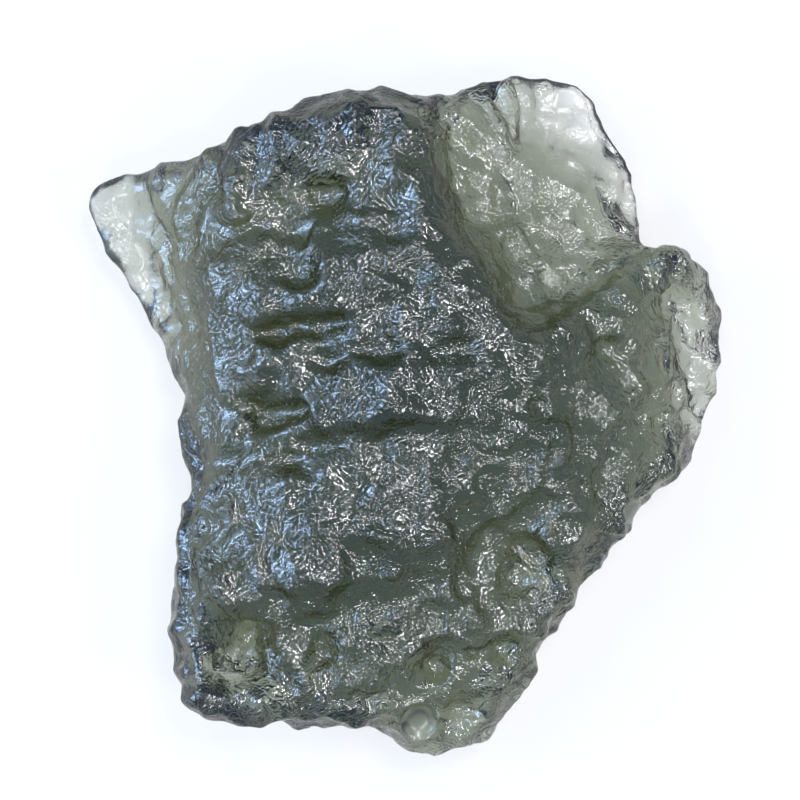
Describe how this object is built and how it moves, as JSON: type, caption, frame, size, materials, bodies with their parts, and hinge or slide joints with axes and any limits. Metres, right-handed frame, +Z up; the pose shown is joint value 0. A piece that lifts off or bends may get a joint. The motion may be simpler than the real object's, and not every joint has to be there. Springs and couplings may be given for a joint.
{
  "type": "moldavite",
  "caption": "Raw moldavite: a flattened piece of green natural glass, etched and scooped all over, with thin see-through edges, resting on a small flat spot.",
  "frame": {"origin": "centre of the bounding box, at the level of the flat spot that the stone rests on", "axes": "+Z up, out of the surface it rests on and along its thickness; +Y towards the thick upper edge, +X towards the lobe on the right, as the picture shows it from above"},
  "size_m": [0.0284, 0.0304, 0.0093],
  "materials": {
    "moldavite_glass": "etched natural glass, grey-green, see-through where thin"
  },
  "bodies": {
    "root": {"moldavite": "moldavite_glass"}
  },
  "joints": []
}
